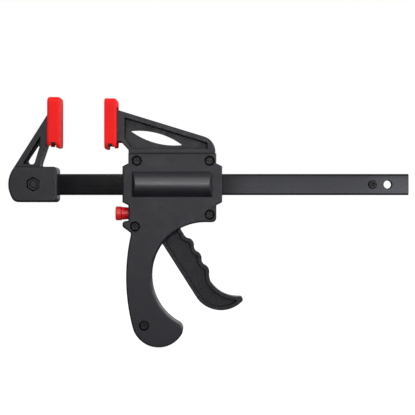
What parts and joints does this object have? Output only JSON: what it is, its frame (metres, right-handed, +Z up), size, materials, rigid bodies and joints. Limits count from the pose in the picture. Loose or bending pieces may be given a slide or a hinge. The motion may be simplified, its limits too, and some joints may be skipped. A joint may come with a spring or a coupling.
{
  "type": "quick release bar clamp",
  "caption": "One-handed bar clamp: a steel bar with a fixed jaw, and a sliding pistol-grip head with a trigger, release button and soft jaw pads.",
  "frame": {"origin": "centre of the moving jaw's pad face", "axes": "+X along the bar, away from the fixed jaw; +Z up, from the handle to the jaw pads; -Y towards the side with the screw heads"},
  "size_m": [0.2685, 0.0292, 0.1672],
  "materials": {
    "housing_plastic": "fine moulded texture",
    "jaw_plastic": "fine moulded texture",
    "trigger_plastic": "fine moulded texture",
    "pad_red": "smooth, slightly glossy",
    "button_red": "glossy",
    "bar_steel": "black oxide, satin",
    "black_steel": "black oxide",
    "bright_steel": "plain"
  },
  "bodies": {
    "head": {"housing_front": "housing_plastic", "housing_rear": "housing_plastic", "housing_screw_1": "black_steel", "housing_screw_2": "black_steel", "housing_screw_3": "black_steel", "housing_screw_4": "black_steel", "housing_screw_5": "black_steel", "moving_jaw_pad": "pad_red", "trigger_pivot_pin": "bright_steel", "drive_spring": "bright_steel", "brake_spring": "bright_steel"},
    "bar_and_fixed_jaw": {"bar": "bar_steel", "fixed_jaw": "jaw_plastic", "fixed_jaw_pad": "pad_red", "fixed_jaw_bolt": "black_steel", "fixed_jaw_nut": "black_steel", "bar_stop_pin": "black_steel"},
    "trigger": {"trigger": "trigger_plastic"},
    "drive_plates": {"drive_plate_1": "bright_steel", "drive_plate_2": "bright_steel"},
    "release_button": {"release_button": "button_red"},
    "brake_plate": {"brake_plate": "bright_steel"}
  },
  "joints": [
    {"name": "bar_slide", "type": "slide", "parent": "head", "child": "bar_and_fixed_jaw", "axis": [1, 0, 0], "range_m": [-0.0984, 0.0296]},
    {"name": "trigger_squeeze", "type": "hinge", "parent": "head", "child": "trigger", "pos_m": [0.041, 0, -0.0611], "axis": [0, 1, 0], "range_deg": [0, 19], "stiffness_Nm_per_rad": 0.6, "springref_deg": -17.19},
    {"name": "drive_plate_slide", "type": "slide", "parent": "head", "child": "drive_plates", "axis": [1, 0, 0], "range_m": [0, 0.0025], "deforming": ["drive_spring"]},
    {"name": "release_press", "type": "slide", "parent": "head", "child": "release_button", "axis": [1, 0, 0], "range_m": [0, 0.0033], "stiffness_N_per_m": 400, "springref_m": -0.003},
    {"name": "brake_plate_tilt", "type": "hinge", "parent": "head", "child": "brake_plate", "pos_m": [0.0295, 0, -0.0276], "axis": [0, 1, 0], "range_deg": [-6, 0], "deforming": ["brake_spring"]}
  ],
  "couplings": [
    {"joint": "drive_plate_slide", "follows": "trigger_squeeze", "m_per_rad": 0.0075},
    {"joint": "brake_plate_tilt", "follows": "release_press", "rad_per_m": -31.7}
  ]
}
